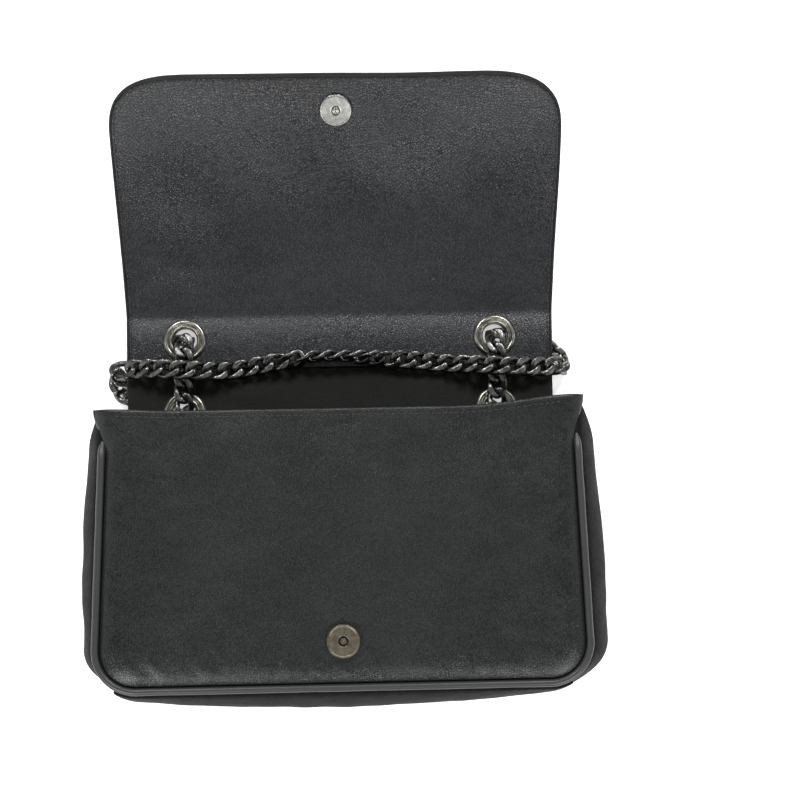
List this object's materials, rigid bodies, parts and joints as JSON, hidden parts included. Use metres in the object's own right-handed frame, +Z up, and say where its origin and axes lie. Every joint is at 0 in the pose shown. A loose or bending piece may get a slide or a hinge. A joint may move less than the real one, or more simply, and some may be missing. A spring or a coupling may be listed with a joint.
{
  "type": "chain shoulder bag",
  "caption": "Black leather flap bag with a curb chain through four eyelets and a magnetic snap, laid open on its back.",
  "frame": {"origin": "middle of the footprint, on the surface that the bag lies on", "axes": "+X across the bag to its right side as seen from above, +Y from the base to the free edge of the opened flap, +Z up from the surface"},
  "size_m": [0.2912, 0.35, 0.0622],
  "materials": {
    "body_leather": "pebbled, satin",
    "lining_leather": "fine grained, satin",
    "piping_leather": "satin",
    "lining_cloth": "matt, twill",
    "stiffener": "matt, pressed fibre",
    "antique_nickel": "satin, darkened",
    "bright_nickel": "satin",
    "gunmetal": "polished, dark"
  },
  "bodies": {
    "bag": {"back_panel": "body_leather", "front_panel": "body_leather", "gusset_left": "body_leather", "gusset_right": "body_leather", "base_strip": "body_leather", "front_piping": "piping_leather", "lining": "lining_cloth", "back_board": "stiffener", "front_board": "stiffener", "base_board": "stiffener", "snap_socket": "antique_nickel", "snap_socket_rivet": "bright_nickel", "snap_socket_washer": "bright_nickel", "chain_loop": "gunmetal"},
    "strip": {"top_strip": "body_leather", "eyelets": "antique_nickel", "chain_threaded": "gunmetal"},
    "flap": {"flap_leather": "body_leather", "flap_lining": "lining_leather", "snap_stud_plate": "bright_nickel", "snap_stud": "bright_nickel", "snap_stud_washer": "bright_nickel"}
  },
  "joints": [
    {"name": "strip_fold", "type": "hinge", "parent": "bag", "child": "strip", "pos_m": [0, -0.024, 0.0102], "axis": [1, 0, 0], "range_deg": [0, 60], "deforming": ["chain_loop"]},
    {"name": "flap_fold", "type": "hinge", "parent": "strip", "child": "flap", "pos_m": [0, 0.0442, 0.0102], "axis": [1, 0, 0], "range_deg": [0, 95]}
  ]
}
